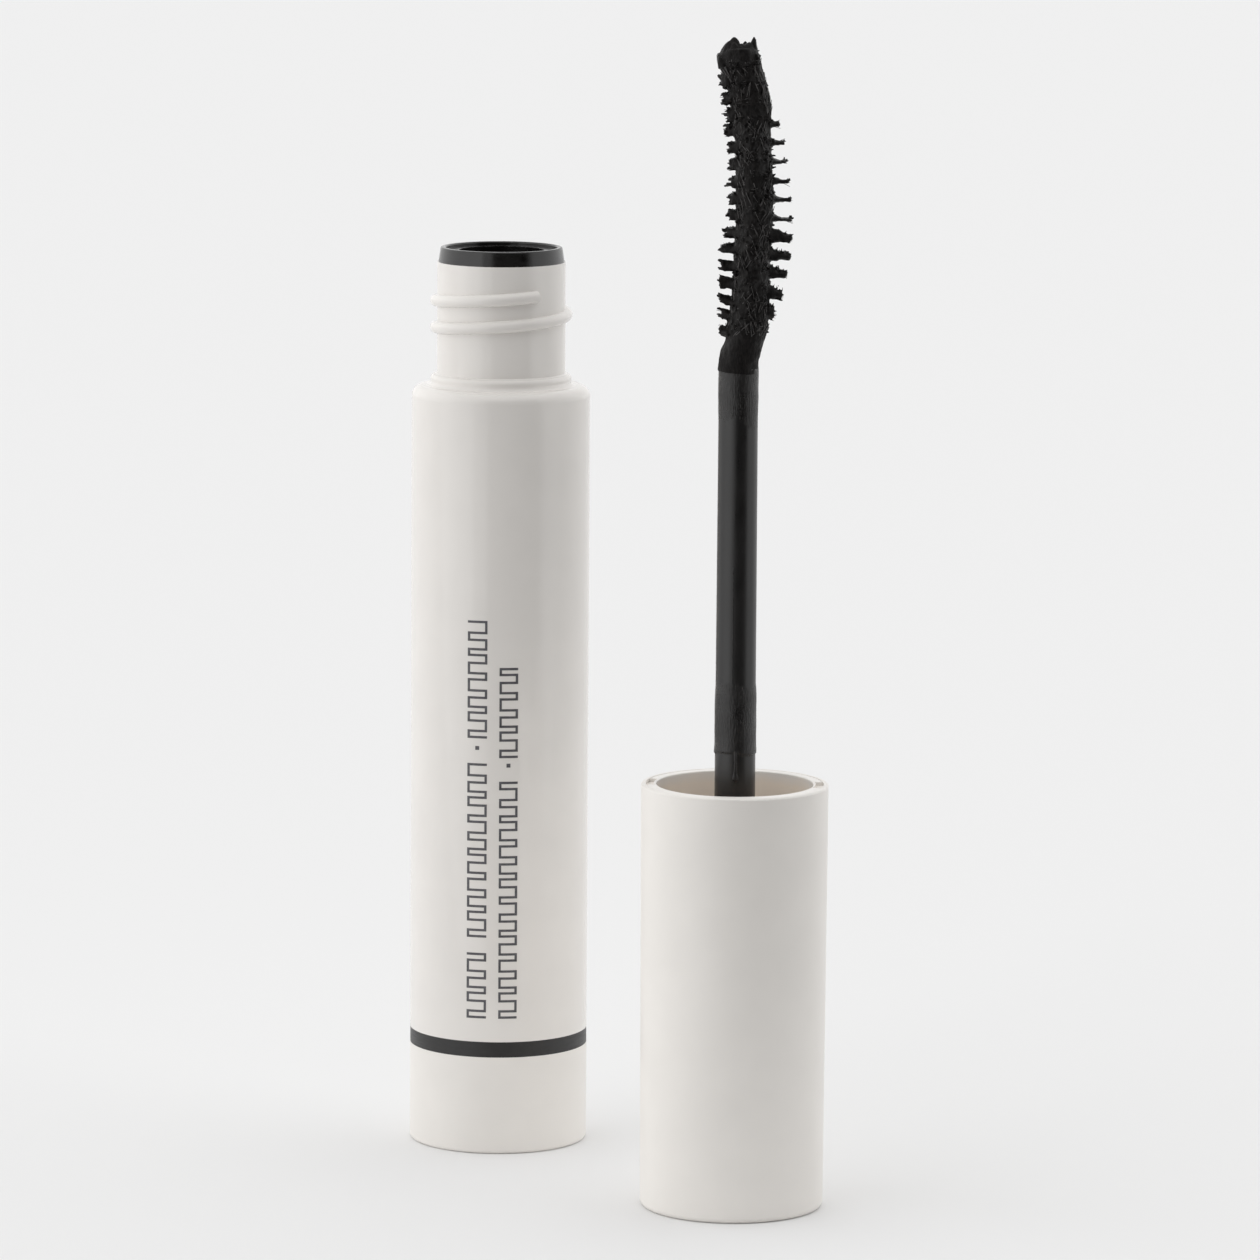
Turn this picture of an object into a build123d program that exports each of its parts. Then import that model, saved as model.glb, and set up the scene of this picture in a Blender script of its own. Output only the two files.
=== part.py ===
from build123d import *

import os
from math import cos, radians, sin

# An opened mascara tube. The bottle stands upright, and the applicator stands beside it on the
# closed end of its cap, with the wand and brush pointing up. Millimetres, +Z up, the origin at the
# centre of the bottle's base, on the surface that both pieces stand on.

# ---- bottle ----
BODY_R = 8.25  # outside of the bottle, the colour ring and the base cup
RING_Z = 9.13  # top of the base cup, where the colour ring starts
BODY_Z = 10.58  # underside of the bottle's full-width body
SHOULDER_Z = 70.8
SHOULDER_FILLET = 1.0
NECK_R = 5.93
NECK_TOP_Z = 82.2
NECK_BORE_R = 4.75
BEAD_R = 6.5  # rounded bead at the root of the neck
BEAD_H = 1.05
BEAD_CROWN_R = 0.4
BEAD_FOOT_R = 0.45  # hollow fillet between the bead and the shoulder
RESERVOIR_R = 6.1
RESERVOIR_FLOOR_Z = 1.8
RESERVOIR_TOP_Z = 67.0  # where the reservoir starts to narrow towards the neck
SPIGOT_R = 7.15  # lower end of the bottle, inside the ring and the base cup

# ---- screw thread, 13 mm cosmetic neck finish ----
PITCH = 2.47
THREAD_H = 0.64
THREAD_W = 1.13
NECK_TURNS = 1.5
NECK_THREAD_Z = 75.72  # centre of the lower end
NECK_THREAD_START = 124.0  # degrees about +Z, so that the upper end is right of the front
LINER_TURNS = 1.1
LINER_THREAD_Z = 29.4
LINER_THREAD_START = 20.0

# ---- base cup and its snap bead ----
CUP_FLOOR = 0.9
CUP_BORE_R = 7.2
CUP_EDGE_FILLET = 0.35
SNAP_Z = 5.0
SNAP_R = 0.35  # section radius of the bead
SNAP_STANDS_OUT = 0.16
RUNNING_GAP = 0.02  # between pieces pressed or dropped together

# ---- wiper ----
FLANGE_R = 5.8
FLANGE_TOP_R = 5.6
FLANGE_TOP_Z = 83.55
FLANGE_LEDGE_Z = 83.22
FLANGE_INNER_R = 5.12
WELL_R = 3.93
SKIRT_R = NECK_BORE_R - RUNNING_GAP
SKIRT_BOTTOM_Z = 76.6
WIPER_LIP_R = 1.85
WIPER_LIP_Z = 73.4
WIPER_LIP_H = 1.2
WIPER_WALL = 0.6

# ---- mascara left in the bottle ----
FILL_TOP_Z = 52.0
CHANNEL_R = 5.0  # hollow that the brush leaves
CHANNEL_FLOOR_Z = 3.6

# ---- applicator: cap, liner and wand share one vertical axis ----
WAND_X = 21.5
WAND_Y = -27.7
CAP_H = 38.34
CAP_END_R = 8.22  # at the closed end, on the surface
CAP_MOUTH_R = 8.36
CAP_BORE_R = 7.6
CAP_END_T = 1.3
CAP_EDGE_FILLET = 0.5
REBATE_R = 7.95  # holds the liner's rim
REBATE_Z = 36.9
LINER_R = 7.55
LINER_RIM_R = REBATE_R - RUNNING_GAP
LINER_BOTTOM_Z = 13.0
LINER_SKIRT_BORE_R = 6.5
MOUTH_R = 6.99
MOUTH_STEP_Z = 33.9
THREAD_ROOT_R = 6.75
THREAD_ZONE_Z = 27.6
SEAL_BORE_R = 6.2
WEB_TOP_Z = 24.7
WEB_T = 2.5
BOSS_R = 3.2
BOSS_BOTTOM_Z = 16.0
RIB_T = 0.8
RIM_RECESS_R = (7.2, LINER_RIM_R)
RIM_RECESS_DEG = 24.0
RIM_RECESS_TURN = -5.0  # degrees about +Z from +X to the middle of the first recess
RIM_RECESS_DEPTH = 0.3

# ---- seal washer, loose around the wand on the liner's web ----
WASHER_BORE_R = 2.0
WASHER_R = 5.9
WASHER_T = 0.8

# ---- wand and brush ----
STEM_ROOT_R = 1.84
STEM_TOP_R = 1.74
STEM_TOP_Z = 76.1
STEM_TOP_CHAMFER = 0.3
SHANK_R = 1.43
BARB_R = 1.9
BARB_TIP_Z = 14.2
WIRE_R = 0.38
WIRE_HOLE_R = WIRE_R + RUNNING_GAP
WIRE_SOCKET_Z = 68.0
WIRE_ROUTE = [(0.0, WIRE_SOCKET_Z), (0.0, 76.8), (1.35, 88.0), (1.3, 94.5), (-0.25, 103.6)]
WIRE_BENDS = [10.0, 40.0, 40.0]
# Outer shape of the bristles: height, offset of the centre along X from the wand's axis, radius.
BRISTLE_SECTIONS = [
    (76.3, 0.1, 1.7),
    (79.0, 0.6, 2.4),
    (84.0, 1.3, 3.0),
    (90.0, 1.6, 3.1),
    (95.5, 1.2, 2.8),
    (100.0, 0.4, 2.2),
    (103.4, -0.2, 1.8),
    (104.64, -0.2, 1.1),
]

BOTTLE_XZ = Plane.XZ
WAND_XZ = Plane(origin=(WAND_X, WAND_Y, 0), x_dir=(1, 0, 0), z_dir=(0, -1, 0))
WAND_AXIS = Axis((WAND_X, WAND_Y, 0), (0, 0, 1))


def thread_ridge(root_r, height, turns, start_deg, start_z):
    """A rounded right-hand ridge about +Z, on a wall of radius root_r. Height is negative inwards."""
    lower_end = Pos(0, 0, start_z) * Rot(0, 0, start_deg)
    path = lower_end * Helix(pitch=PITCH, height=PITCH * turns, radius=root_r)
    outwards = Vector(cos(radians(start_deg)), sin(radians(start_deg)), 0)
    embed = -0.25 if height > 0 else 0.25
    half = THREAD_W / 2
    outline = Polyline((0, half), (embed, half), (embed, -half), (0, -half))
    crest = ThreePointArc((0, -half), (height, 0), (0, half))
    section = Plane(origin=path @ 0, x_dir=outwards, z_dir=path % 0) * make_face([outline, crest])
    return sweep(section, path=path, is_frenet=True)


neck_thread = thread_ridge(NECK_R, THREAD_H, NECK_TURNS, NECK_THREAD_START, NECK_THREAD_Z)
liner_thread = thread_ridge(
    THREAD_ROOT_R, -THREAD_H, LINER_TURNS, LINER_THREAD_START, LINER_THREAD_Z
).moved(Location((WAND_X, WAND_Y, 0)))

# ---- bottle: vessel, shoulder and threaded neck in one moulding ----
with BuildPart() as bottle:
    with BuildSketch(BOTTLE_XZ):
        with BuildLine():
            outside = Polyline(
                (0, CUP_FLOOR),
                (SPIGOT_R, CUP_FLOOR),
                (SPIGOT_R, BODY_Z),
                (BODY_R, BODY_Z),
                (BODY_R, SHOULDER_Z - SHOULDER_FILLET),
            )
            corner = RadiusArc(
                outside @ 1, (BODY_R - SHOULDER_FILLET, SHOULDER_Z), -SHOULDER_FILLET
            )
            foot = CenterArc(
                (BEAD_R + BEAD_FOOT_R, SHOULDER_Z + BEAD_FOOT_R), BEAD_FOOT_R, 270, -90
            )
            crown = CenterArc(
                (BEAD_R - BEAD_CROWN_R, SHOULDER_Z + BEAD_H - BEAD_CROWN_R), BEAD_CROWN_R, 0, 90
            )
            Line(corner @ 1, foot @ 0)
            Line(foot @ 1, crown @ 0)
            Polyline(
                crown @ 1,
                (NECK_R, SHOULDER_Z + BEAD_H + 0.1),
                (NECK_R, NECK_TOP_Z),
                (NECK_BORE_R, NECK_TOP_Z),
                (NECK_BORE_R, SHOULDER_Z),
                (RESERVOIR_R, RESERVOIR_TOP_Z),
                (RESERVOIR_R, RESERVOIR_FLOOR_Z),
                (0, RESERVOIR_FLOOR_Z),
                (0, CUP_FLOOR),
            )
        make_face()
    revolve(axis=Axis.Z)
    with BuildSketch(BOTTLE_XZ):
        with Locations((SPIGOT_R + SNAP_STANDS_OUT - SNAP_R, SNAP_Z)):
            Circle(SNAP_R)
    revolve(axis=Axis.Z)
    add(neck_thread)

# ---- base cup: white cap over the lower end, snapped over the bottle's bead ----
with BuildPart() as base_cup:
    with BuildSketch(BOTTLE_XZ):
        with BuildLine():
            Polyline(
                (0, 0),
                (BODY_R, 0),
                (BODY_R, RING_Z),
                (CUP_BORE_R, RING_Z),
                (CUP_BORE_R, CUP_FLOOR),
                (0, CUP_FLOOR),
                close=True,
            )
        make_face()
    revolve(axis=Axis.Z)
    fillet(base_cup.edges().filter_by(GeomType.CIRCLE).group_by(Axis.Z)[0], CUP_EDGE_FILLET)
    with BuildSketch(BOTTLE_XZ):
        with Locations((SPIGOT_R + SNAP_STANDS_OUT - SNAP_R, SNAP_Z)):
            Circle(SNAP_R + RUNNING_GAP)
    revolve(axis=Axis.Z, mode=Mode.SUBTRACT)

# ---- colour ring: dark band between the base cup and the body ----
with BuildPart() as colour_ring:
    with BuildSketch(Plane.XY.offset(RING_Z)):
        Circle(BODY_R - RUNNING_GAP)
        Circle(CUP_BORE_R, mode=Mode.SUBTRACT)
    extrude(amount=BODY_Z - RING_Z)

# ---- wiper: flanged plug in the neck, with a funnel that ends in the wiping lip ----
with BuildPart() as wiper:
    with BuildSketch(BOTTLE_XZ):
        with BuildLine():
            Polyline(
                (WIPER_LIP_R, WIPER_LIP_Z),
                (WIPER_LIP_R, WIPER_LIP_Z + WIPER_LIP_H),
                (WELL_R, SKIRT_BOTTOM_Z + WIPER_LIP_H),
                (WELL_R, FLANGE_LEDGE_Z),
                (FLANGE_INNER_R, FLANGE_LEDGE_Z),
                (FLANGE_INNER_R, FLANGE_TOP_Z),
                (FLANGE_TOP_R, FLANGE_TOP_Z),
                (FLANGE_R, NECK_TOP_Z),
                (SKIRT_R, NECK_TOP_Z),
                (SKIRT_R, SKIRT_BOTTOM_Z),
                (WIPER_LIP_R + WIPER_WALL, WIPER_LIP_Z),
                close=True,
            )
        make_face()
    revolve(axis=Axis.Z)
    flange_rims = wiper.edges().filter_by(GeomType.CIRCLE).group_by(Axis.Z)[-1]
    fillet(flange_rims, 0.15)

# ---- mascara: what is left, a lining with the hollow that the brush makes ----
with BuildPart() as mascara_fill:
    with BuildSketch(Plane.XY.offset(RESERVOIR_FLOOR_Z)):
        Circle(RESERVOIR_R - RUNNING_GAP)
    extrude(amount=FILL_TOP_Z - RESERVOIR_FLOOR_Z)
    with BuildSketch(Plane.XY.offset(CHANNEL_FLOOR_Z)):
        Circle(CHANNEL_R)
    extrude(amount=FILL_TOP_Z - CHANNEL_FLOOR_Z, mode=Mode.SUBTRACT)

# ---- cap shell: slightly tapered cover, upside down on its closed end ----
with BuildPart() as cap_shell:
    with BuildSketch(WAND_XZ):
        with BuildLine():
            Polyline(
                (0, 0),
                (CAP_END_R, 0),
                (CAP_MOUTH_R, CAP_H),
                (REBATE_R, CAP_H),
                (REBATE_R, REBATE_Z),
                (CAP_BORE_R, REBATE_Z),
                (CAP_BORE_R, CAP_END_T),
                (0, CAP_END_T),
                close=True,
            )
        make_face()
    revolve(axis=WAND_AXIS)
    shell_circles = cap_shell.edges().filter_by(GeomType.CIRCLE).group_by(Axis.Z)
    fillet(shell_circles[0], CAP_EDGE_FILLET)
    fillet(shell_circles[-1].sort_by(SortBy.RADIUS)[-1], 0.18)

# ---- cap liner: inner cap with the thread, the web that carries the wand, and the rim ----
with BuildPart() as cap_liner:
    with BuildSketch(WAND_XZ):
        with BuildLine():
            Polyline(
                (SHANK_R + RUNNING_GAP, BOSS_BOTTOM_Z),
                (BOSS_R, BOSS_BOTTOM_Z),
                (BOSS_R, WEB_TOP_Z - WEB_T),
                (LINER_SKIRT_BORE_R, WEB_TOP_Z - WEB_T),
                (LINER_SKIRT_BORE_R, LINER_BOTTOM_Z),
                (LINER_R, LINER_BOTTOM_Z),
                (LINER_R, REBATE_Z),
                (LINER_RIM_R, REBATE_Z),
                (LINER_RIM_R, CAP_H),
                (MOUTH_R, CAP_H),
                (MOUTH_R, MOUTH_STEP_Z),
                (THREAD_ROOT_R, MOUTH_STEP_Z - 0.3),
                (THREAD_ROOT_R, THREAD_ZONE_Z),
                (SEAL_BORE_R, THREAD_ZONE_Z - 0.4),
                (SEAL_BORE_R, WEB_TOP_Z),
                (SHANK_R + RUNNING_GAP, WEB_TOP_Z),
                close=True,
            )
        make_face()
    revolve(axis=WAND_AXIS)
    rim_circles = cap_liner.edges().filter_by(GeomType.CIRCLE).group_by(Axis.Z)[-1]
    fillet(rim_circles, 0.12)
    rib_span = LINER_SKIRT_BORE_R - BOSS_R
    with BuildSketch(Plane(origin=(WAND_X, WAND_Y, BOSS_BOTTOM_Z))):
        with PolarLocations(BOSS_R + rib_span / 2, 6):
            Rectangle(rib_span + 0.4, RIB_T)
    extrude(amount=WEB_TOP_Z - WEB_T - BOSS_BOTTOM_Z)
    with BuildSketch(Plane(origin=(WAND_X, WAND_Y, CAP_H - RIM_RECESS_DEPTH))):
        for half_turn in (0, 180):
            first = RIM_RECESS_TURN + half_turn - RIM_RECESS_DEG / 2
            with BuildLine():
                recess_arcs = [CenterArc((0, 0), r, first, RIM_RECESS_DEG) for r in RIM_RECESS_R]
                Line(recess_arcs[0] @ 0, recess_arcs[1] @ 0)
                Line(recess_arcs[0] @ 1, recess_arcs[1] @ 1)
            make_face()
    extrude(amount=RIM_RECESS_DEPTH, mode=Mode.SUBTRACT)
    add(liner_thread)

# ---- seal washer: loose disc that the bottle's rim presses against when the cap is screwed on ----
with BuildPart() as seal_washer:
    with BuildSketch(Plane(origin=(WAND_X, WAND_Y, WEB_TOP_Z + RUNNING_GAP))):
        Circle(WASHER_R)
        Circle(WASHER_BORE_R, mode=Mode.SUBTRACT)
    extrude(amount=WASHER_T)

# ---- wand: barbed shank through the liner's boss, long stem, socket for the brush's wire ----
with BuildPart() as wand_stem:
    with BuildSketch(WAND_XZ):
        with BuildLine():
            Polyline(
                (0, BARB_TIP_Z),
                (SHANK_R - 0.3, BARB_TIP_Z),
                (BARB_R, BOSS_BOTTOM_Z - 0.8),
                (BARB_R, BOSS_BOTTOM_Z),
                (SHANK_R, BOSS_BOTTOM_Z),
                (SHANK_R, WEB_TOP_Z),
                (STEM_ROOT_R, WEB_TOP_Z),
                (STEM_TOP_R, STEM_TOP_Z - STEM_TOP_CHAMFER),
                (STEM_TOP_R - STEM_TOP_CHAMFER, STEM_TOP_Z),
                (WIRE_HOLE_R, STEM_TOP_Z),
                (WIRE_HOLE_R, WIRE_SOCKET_Z),
                (0, WIRE_SOCKET_Z),
                close=True,
            )
        make_face()
    revolve(axis=WAND_AXIS)

# ---- brush wire: the twisted core, as a plain bent rod ----
with BuildPart() as brush_wire:
    with BuildLine(WAND_XZ):
        wire_path = FilletPolyline(*WIRE_ROUTE, radius=WIRE_BENDS)
    with BuildSketch(Plane(origin=wire_path @ 0, z_dir=wire_path % 0)):
        Circle(WIRE_R)
    sweep(path=wire_path)

# ---- bristles: the outer shape of the brush, around the wire ----
with BuildPart() as bristles:
    for section_z, section_x, section_r in BRISTLE_SECTIONS:
        with BuildSketch(Plane(origin=(WAND_X + section_x, WAND_Y, section_z))):
            Circle(section_r)
    loft()
    with BuildSketch(Plane(origin=wire_path @ 0, z_dir=wire_path % 0)):
        Circle(WIRE_R + RUNNING_GAP / 2)
    sweep(path=wire_path, mode=Mode.SUBTRACT)

pieces = {
    "bottle": bottle,
    "base_cup": base_cup,
    "colour_ring": colour_ring,
    "wiper": wiper,
    "mascara_fill": mascara_fill,
    "cap_shell": cap_shell,
    "cap_liner": cap_liner,
    "seal_washer": seal_washer,
    "wand_stem": wand_stem,
    "brush_wire": brush_wire,
    "bristles": bristles,
}

os.makedirs("parts", exist_ok=True)
for node, piece in pieces.items():
    piece.part.label = node
    export_step(piece.part, f"parts/{node}.step")
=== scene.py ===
"""Looks of the opened mascara tube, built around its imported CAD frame. Lengths are in millimetres until a
piece is made, then in metres (MM), with +X right, +Y away from the camera and +Z up."""

from math import cos, pi, radians, sin

import bpy
import numpy as np
from mathutils import Matrix, Vector, noise


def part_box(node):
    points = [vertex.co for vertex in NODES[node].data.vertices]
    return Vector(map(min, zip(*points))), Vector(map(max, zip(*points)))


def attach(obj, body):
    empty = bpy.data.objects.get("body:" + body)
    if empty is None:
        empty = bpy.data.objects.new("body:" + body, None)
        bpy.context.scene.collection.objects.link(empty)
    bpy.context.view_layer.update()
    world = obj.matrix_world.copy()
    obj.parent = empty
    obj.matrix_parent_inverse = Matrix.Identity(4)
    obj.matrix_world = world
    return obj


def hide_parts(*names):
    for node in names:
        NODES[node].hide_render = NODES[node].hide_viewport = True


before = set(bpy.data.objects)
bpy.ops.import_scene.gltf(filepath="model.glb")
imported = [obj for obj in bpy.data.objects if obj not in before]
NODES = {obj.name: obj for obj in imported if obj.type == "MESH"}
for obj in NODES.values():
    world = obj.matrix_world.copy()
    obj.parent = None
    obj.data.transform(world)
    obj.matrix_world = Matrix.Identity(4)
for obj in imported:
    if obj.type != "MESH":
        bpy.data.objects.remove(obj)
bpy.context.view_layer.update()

MM = 0.001
SCENE = bpy.context.scene


def middle(node):
    """The middle of a CAD node's box, in millimetres."""
    low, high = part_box(node)
    return (low + high) / 2 / MM


def top(node):
    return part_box(node)[1].z / MM


# ------------------------------------------------------------------------------------ places and sizes
WAND_X = middle("cap_shell").x
WAND_Y = middle("cap_shell").y
BOTTLE_R = (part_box("bottle")[1].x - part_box("bottle")[0].x) / MM / 2
CAP_TOP = top("cap_shell")
STEM_TOP = top("wand_stem")
STEM_R_ROOT = 1.84
STEM_R_TOP = 1.74

# ------------------------------------------------------------------------------------ camera
CAMERA_AT = (12.06, -659.61, 146.39)
CAMERA_PITCH = 8.4876  # degrees down
CAMERA_ROLL = 0.3956
CAMERA_LENS = 205.4

camera = bpy.data.objects.new("camera", bpy.data.cameras.new("camera"))
camera.data.lens = CAMERA_LENS
camera.data.sensor_width = 36
camera.data.clip_start = 0.01
camera.matrix_world = (
    Matrix.Translation(Vector(CAMERA_AT) * MM)
    @ Matrix.Rotation(radians(90 - CAMERA_PITCH), 4, "X")
    @ Matrix.Rotation(radians(CAMERA_ROLL), 4, "Z")
)
SCENE.collection.objects.link(camera)
SCENE.camera = camera
SCENE.view_settings.view_transform = "Standard"


# ------------------------------------------------------------------------------------ node helpers
class Shader:
    """A material's or a world's node tree, with short ways to add and join nodes."""

    def __init__(self, owner):
        owner.use_nodes = True
        self.tree = owner.node_tree
        self.tree.nodes.clear()

    def node(self, kind, **settings):
        made = self.tree.nodes.new(kind)
        for name, value in settings.items():
            setattr(made, name, value)
        return made

    def join(self, source, target):
        self.tree.links.new(source, target)

    def feed(self, target, value):
        """Sets a socket to a number or colour, or links another socket to it."""
        if isinstance(value, bpy.types.NodeSocket):
            self.join(value, target)
        else:
            target.default_value = value

    def math(self, operation, *values):
        made = self.node("ShaderNodeMath", operation=operation)
        for socket, value in zip(made.inputs, values):
            self.feed(socket, value)
        return made.outputs[0]

    def ramp(self, value, stops):
        """A colour ramp through (position, grey or colour) stops, in rising order."""
        made = self.node("ShaderNodeValToRGB")
        elements = made.color_ramp.elements
        elements.remove(elements[1])
        elements[0].position = stops[0][0]
        for position, _ in stops[1:]:
            elements.new(position)
        for element, (_, shade) in zip(elements, stops):
            element.color = (*shade, 1) if isinstance(shade, tuple) else (shade, shade, shade, 1)
        self.join(value, made.inputs[0])
        return made.outputs[0]

    def place(self, stretch=(1, 1, 1)):
        """Coordinates on the piece, in metres, stretched along its axes."""
        coordinates = self.node("ShaderNodeTexCoord")
        mapping = self.node("ShaderNodeMapping")
        mapping.inputs["Scale"].default_value = stretch
        self.join(coordinates.outputs["Object"], mapping.inputs["Vector"])
        return mapping.outputs["Vector"]

    def noise(self, grain_mm, detail=3.0, roughness=0.55, stretch=(1, 1, 1)):
        """Noise whose features are about grain_mm across."""
        made = self.node("ShaderNodeTexNoise")
        made.inputs["Scale"].default_value = 1 / (grain_mm * MM)
        made.inputs["Detail"].default_value = detail
        made.inputs["Roughness"].default_value = roughness
        self.join(self.place(stretch), made.inputs["Vector"])
        return made.outputs["Fac"]

    def spread(self, value, low, high, start=0.3, end=0.7):
        """Maps a noise's usual range to low..high."""
        made = self.node("ShaderNodeMapRange")
        for name, number in (("From Min", start), ("From Max", end), ("To Min", low), ("To Max", high)):
            made.inputs[name].default_value = number
        self.join(value, made.inputs["Value"])
        return made.outputs["Result"]

    def bump(self, height, depth_mm, under=None):
        made = self.node("ShaderNodeBump")
        made.inputs["Strength"].default_value = 1.0
        made.inputs["Distance"].default_value = depth_mm * MM
        self.join(height, made.inputs["Height"])
        if under is not None:
            self.join(under, made.inputs["Normal"])
        return made.outputs["Normal"]


def principled(name, fixed, linked):
    """A Principled material: fixed holds its constant inputs, and linked returns those that nodes feed."""
    material = bpy.data.materials.new(name)
    shader = Shader(material)
    output = shader.node("ShaderNodeOutputMaterial")
    surface = shader.node("ShaderNodeBsdfPrincipled")
    shader.join(surface.outputs["BSDF"], output.inputs["Surface"])
    for socket, value in fixed.items():
        surface.inputs[socket].default_value = value
    for socket, value in linked(shader).items():
        shader.feed(surface.inputs[socket], value)
    return material


def shade(colour, factor):
    return tuple(min(1.0, c * factor) for c in colour)


# ------------------------------------------------------------------------------------ studio
FLOOR_ALBEDO = 0.85
BACKDROP = 0.847  # the even pale grey behind and under the object
FLOOR_SIDE = 8000.0
FLOOR_FRONT = -75.0  # the table ends just in front of the object, outside the picture
OVERHEAD = 1.32  # strength of the light from above
OVERHEAD_FROM = 0.55  # sines of the heights between which the panels give way to it
OVERHEAD_FULL = 0.80
# Light around the object, by azimuth in degrees from the camera's side (-Y) towards +X: a tall soft
# panel on the left, with a fainter one beside it, another on the right, and a pale wall behind.
PANELS = [
    (-180, 1.25),
    (-150, 1.42),
    (-120, 1.62),
    (-36, 1.85),
    (-33, 1.05),
    (-17.5, 0.98),
    (-15, 0.10),
    (50, 0.10),
    (62, 1.30),
    (120, 1.60),
    (150, 1.42),
    (180, 1.25),
]


def build_world():
    world = bpy.data.worlds.new("studio")
    SCENE.world = world
    shader = Shader(world)
    coordinates = shader.node("ShaderNodeTexCoord")
    split = shader.node("ShaderNodeSeparateXYZ")
    shader.join(coordinates.outputs["Generated"], split.inputs[0])
    to_front = shader.math("MULTIPLY", split.outputs["Y"], -1.0)
    azimuth = shader.math("ARCTAN2", split.outputs["X"], to_front)
    share = shader.math("MULTIPLY_ADD", azimuth, 1 / (2 * pi), 0.5)
    strongest = max(strength for _, strength in PANELS)
    stops = [(angle / 360 + 0.5, strength / strongest) for angle, strength in PANELS]
    panels = shader.math("MULTIPLY", shader.ramp(share, stops), strongest)
    overhead = shader.spread(split.outputs["Z"], 0.0, 1.0, OVERHEAD_FROM, OVERHEAD_FULL)
    missing = shader.math("SUBTRACT", OVERHEAD, panels)
    light = shader.node("ShaderNodeBackground")
    shader.join(shader.math("MULTIPLY_ADD", missing, overhead, panels), light.inputs["Strength"])
    backdrop = shader.node("ShaderNodeBackground")
    backdrop.inputs["Color"].default_value = (BACKDROP, BACKDROP, BACKDROP, 1)
    path = shader.node("ShaderNodeLightPath")
    mix = shader.node("ShaderNodeMixShader")
    shader.join(path.outputs["Is Camera Ray"], mix.inputs[0])
    shader.join(light.outputs[0], mix.inputs[1])
    shader.join(backdrop.outputs[0], mix.inputs[2])
    output = shader.node("ShaderNodeOutputWorld")
    shader.join(mix.outputs[0], output.inputs["Surface"])


def build_floor():
    half = FLOOR_SIDE / 2 * MM
    front = FLOOR_FRONT * MM
    mesh = bpy.data.meshes.new("floor")
    corners = [(-half, front, 0), (half, front, 0), (half, half, 0), (-half, half, 0)]
    mesh.from_pydata(corners, [], [(0, 1, 2, 3)])
    floor = bpy.data.objects.new("floor", mesh)
    SCENE.collection.objects.link(floor)
    grey = (FLOOR_ALBEDO, FLOOR_ALBEDO, FLOOR_ALBEDO, 1)
    material = principled(
        "floor",
        {"Base Color": grey, "Roughness": 0.9, "Specular IOR Level": 0.1},
        lambda shader: {},
    )
    mesh.materials.append(material)


build_world()
build_floor()

# ------------------------------------------------------------------------------------ materials
WARM_WHITE = (0.83, 0.80, 0.765)
CAP_WHITE = (0.86, 0.83, 0.79)
LINER_WHITE = (0.87, 0.84, 0.80)
# Painted glow: a warmer, lighter white for deep in the cap's mouth, standing in for light coming through
# the liner.
LINER_GLOW_TINT = (0.95, 0.855, 0.75)
BLACK_PLASTIC = (0.0068, 0.0062, 0.006)
PRODUCT = (0.0038, 0.0032, 0.003)
FIBRE = (0.031, 0.028, 0.027)
INK = (0.085, 0.083, 0.09)
GLOW_FADE = (-0.6, 0.4)  # heights from the cap's rim between which the painted glow in its mouth fades out
GLOW_WANDER = 1.0  # how far the painted glow's edge wanders up and down


def moulded(name, colour, roughness, grain_mm, grain_depth):
    """Moulded plastic: faint tone drift, uneven gloss, and a fine grain over a slight waviness."""

    def linked(shader):
        drift = shader.noise(6.0, detail=2.0)
        tone = shader.ramp(drift, [(0.35, shade(colour, 0.985)), (0.65, shade(colour, 1.012))])
        gloss = shader.spread(shader.noise(1.7, detail=4.0), roughness * 0.9, roughness * 1.12)
        waves = shader.bump(shader.noise(2.2, detail=1.0), 0.0015)
        grain = shader.bump(shader.noise(grain_mm, detail=2.0), grain_depth, waves)
        return {"Base Color": tone, "Roughness": gloss, "Normal": grain}

    return principled(name, {}, linked)


def liner_plastic():
    """The cap's inner part: clean at the rim, and painted warmer and lighter down the mouth, a painted glow
    standing in for light coming through the liner.
    """

    def linked(shader):
        split = shader.node("ShaderNodeSeparateXYZ")
        shader.join(shader.place(), split.inputs[0])
        glow_and_gloss_noise = shader.noise(2.5, detail=3.0)
        edge = shader.math("MULTIPLY_ADD", glow_and_gloss_noise, GLOW_WANDER * MM, split.outputs["Z"])
        fade_from, fade_to = ((CAP_TOP + height) * MM for height in GLOW_FADE)
        share = shader.spread(edge, 0.0, 1.0, fade_from, fade_to)
        # Painted glow: the liner turns warmer and lighter deeper in the mouth.
        tone = shader.ramp(share, [(0.0, LINER_GLOW_TINT), (1.0, LINER_WHITE)])
        gloss = shader.spread(glow_and_gloss_noise, 0.30, 0.38)
        return {"Base Color": tone, "Roughness": gloss, "Normal": shader.bump(shader.noise(0.2), 0.002)}

    return principled("liner_plastic", {}, linked)


def satin_ring():
    """Black band with fine lines around it and a dusty bloom."""

    def linked(shader):
        lines = shader.noise(0.12, detail=3.0, stretch=(0.06, 0.06, 1))
        bloom = shader.noise(0.9, detail=5.0)
        tone = shader.ramp(bloom, [(0.3, shade(BLACK_PLASTIC, 1.1)), (0.75, shade(BLACK_PLASTIC, 2.0))])
        gloss = shader.spread(lines, 0.36, 0.5)
        return {"Base Color": tone, "Roughness": gloss, "Normal": shader.bump(lines, 0.004)}

    return principled("satin_ring", {"Specular IOR Level": 0.6}, linked)


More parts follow.
